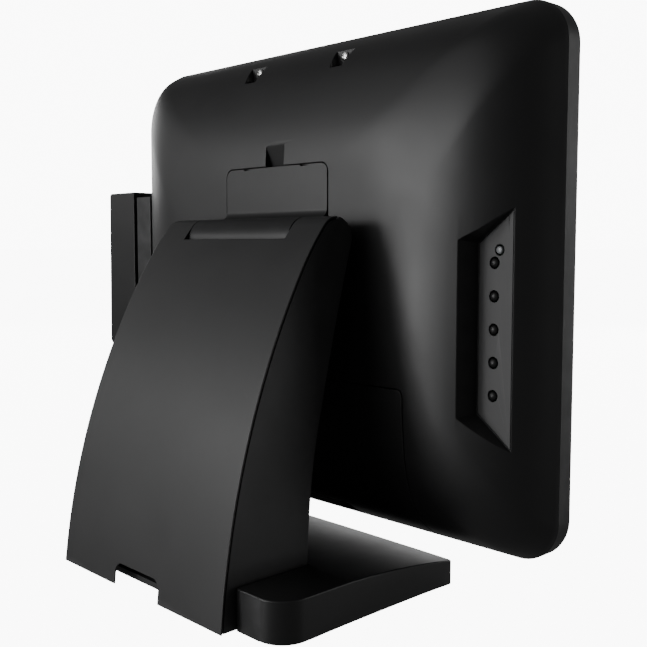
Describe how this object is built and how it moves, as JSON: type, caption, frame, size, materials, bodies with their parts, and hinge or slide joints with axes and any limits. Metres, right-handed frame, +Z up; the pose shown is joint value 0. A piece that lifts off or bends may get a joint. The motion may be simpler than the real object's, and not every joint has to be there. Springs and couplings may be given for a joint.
{
  "type": "all in one pc",
  "caption": "Counter-top touch computer: tilting slab head with domed back, side card reader and button recess, on a swept stand with a flat base.",
  "frame": {"origin": "centre of the object's bounding box on the floor it stands on", "axes": "+Z up, the screen faces -Y, +X is the right-hand side as seen by the user facing the screen"},
  "size_m": [0.4206, 0.1632, 0.3283],
  "materials": {
    "case": "fine satin texture, black",
    "stand": "fine matte texture, black",
    "buttons": "smooth black",
    "rubber": "matte",
    "steel": "zinc plated",
    "screws": "bright nickel",
    "alloy": "plain",
    "board": "green circuit board",
    "glass": "glossy, black border",
    "panel": "metal-faced display module",
    "key": "fine satin, dark grey",
    "lens": "clear lens"
  },
  "bodies": {
    "stand": {"base_plate": "steel", "base_shell": "case", "bracket_screw_1": "screws", "bracket_screw_2": "screws", "bracket_screw_3": "screws", "bracket_screw_4": "screws", "foot_front_left": "rubber", "foot_front_right": "rubber", "foot_rear_left": "rubber", "foot_rear_right": "rubber", "hinge_left": "steel", "hinge_right": "steel", "horn_cheek_left": "stand", "horn_cheek_right": "stand", "stand_back_cover": "stand", "stand_bracket": "steel", "stand_front_cover": "stand", "stand_side_left": "stand", "stand_side_right": "stand"},
    "head": {"button_board": "board", "chassis_plate": "steel", "front_frame": "case", "heat_sink": "alloy", "hinge_bracket": "steel", "hinge_cover": "case", "hinge_shaft": "steel", "key_plate": "key", "lcd_panel": "panel", "mainboard": "board", "memory_module": "board", "port_block": "alloy", "port_cover": "case", "read_head": "alloy", "reader_cover": "case", "reader_mount": "case", "reader_web": "case", "rear_shell": "case", "speaker_left": "case", "speaker_right": "case", "status_lens": "lens", "storage_drive": "alloy", "top_screw_left": "screws", "top_screw_right": "screws", "touch_glass": "glass"},
    "button_1": {"button_1": "buttons"},
    "button_2": {"button_2": "buttons"},
    "button_3": {"button_3": "buttons"},
    "button_4": {"button_4": "buttons"},
    "button_5": {"button_5": "buttons"}
  },
  "joints": [
    {"name": "head_tilt", "type": "hinge", "parent": "stand", "child": "head", "pos_m": [-0.02925, -0.0064, 0.2022], "axis": [-1, 0, 0], "range_deg": [-5, 70]},
    {"name": "button_1_press", "type": "slide", "parent": "head", "child": "button_1", "axis": [-0.0429, -0.9991, 0], "range_m": [0, 0.001], "stiffness_N_per_m": 600},
    {"name": "button_2_press", "type": "slide", "parent": "head", "child": "button_2", "axis": [-0.0429, -0.9991, 0], "range_m": [0, 0.001], "stiffness_N_per_m": 600},
    {"name": "button_3_press", "type": "slide", "parent": "head", "child": "button_3", "axis": [-0.0429, -0.9991, 0], "range_m": [0, 0.001], "stiffness_N_per_m": 600},
    {"name": "button_4_press", "type": "slide", "parent": "head", "child": "button_4", "axis": [-0.0429, -0.9991, 0], "range_m": [0, 0.001], "stiffness_N_per_m": 600},
    {"name": "button_5_press", "type": "slide", "parent": "head", "child": "button_5", "axis": [-0.0429, -0.9991, 0], "range_m": [0, 0.001], "stiffness_N_per_m": 600}
  ]
}
